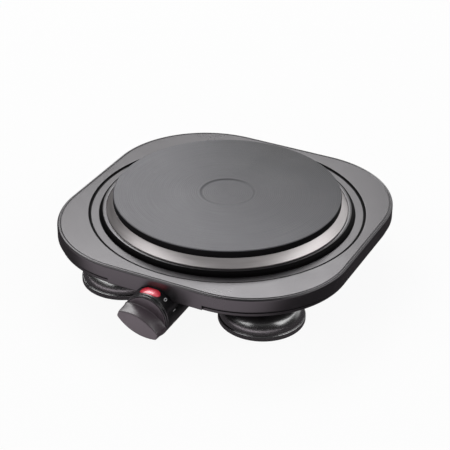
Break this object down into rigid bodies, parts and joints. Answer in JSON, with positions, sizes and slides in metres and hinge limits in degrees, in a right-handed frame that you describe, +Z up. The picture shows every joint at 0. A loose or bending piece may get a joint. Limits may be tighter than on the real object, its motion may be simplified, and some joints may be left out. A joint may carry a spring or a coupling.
{
  "type": "hot plate burner",
  "caption": "Electric hot plate: round cast-iron plate with a bright spill ring on a rounded-square housing with bun feet and a front control pod with an oval-grip knob and red lamp.",
  "frame": {"origin": "on the standing surface, under the middle of the object's plan", "axes": "+Z up, the knob faces -Y, +X to the right seen from the front"},
  "size_m": [0.2448, 0.2752, 0.066],
  "materials": {
    "enamel": "satin dark grey paint",
    "base": "satin black paint",
    "pod": "satin black phenolic",
    "cast_plate": "turned and blackened",
    "stainless": "brushed along the ring",
    "ceramic": "fired magnesia and steatite",
    "coil": "oxidised resistance wire",
    "zinc_steel": "zinc-plated sheet",
    "screw_steel": "plated",
    "brass": "plain",
    "bright_sheet": "mill finish",
    "knob_black": "satin charcoal phenolic",
    "lens_red": "translucent red",
    "neon_glass": "clear with an orange glow",
    "foot_black": "glossy black phenolic",
    "rubber": "matt"
  },
  "bodies": {
    "base": {"housing": "enamel", "base_cover": "base", "control_pod": "pod", "hotplate": "cast_plate", "spill_ring": "stainless", "ceramic_fill": "ceramic", "heating_coils": "coil", "element_cover": "zinc_steel", "plate_stud": "screw_steel", "clamp_bridge": "zinc_steel", "bridge_nut": "screw_steel", "plate_terminal": "ceramic", "thermal_cutout": "zinc_steel", "earth_tag": "brass", "heat_shield": "bright_sheet", "thermostat_body": "ceramic", "thermostat_screws": "screw_steel", "lamp_lens": "lens_red", "neon_lamp": "neon_glass", "foot_front_left": "foot_black", "foot_front_right": "foot_black", "foot_rear_left": "foot_black", "foot_rear_right": "foot_black", "pad_front_left": "rubber", "pad_front_right": "rubber", "pad_rear_left": "rubber", "pad_rear_right": "rubber", "foot_screws": "screw_steel", "base_screws": "screw_steel", "pod_screws": "screw_steel", "cord_gland": "rubber", "cord_clamp": "ceramic", "clamp_screws": "screw_steel", "terminal_block": "ceramic"},
    "control": {"knob": "knob_black", "knob_spring": "screw_steel", "thermostat_shaft": "screw_steel", "thermostat_cam": "brass"}
  },
  "joints": [
    {"name": "control_turn", "type": "hinge", "parent": "base", "child": "control", "pos_m": [0, -0.1252, 0.0253], "axis": [0, -1, 0], "range_deg": [-105, 70]}
  ]
}
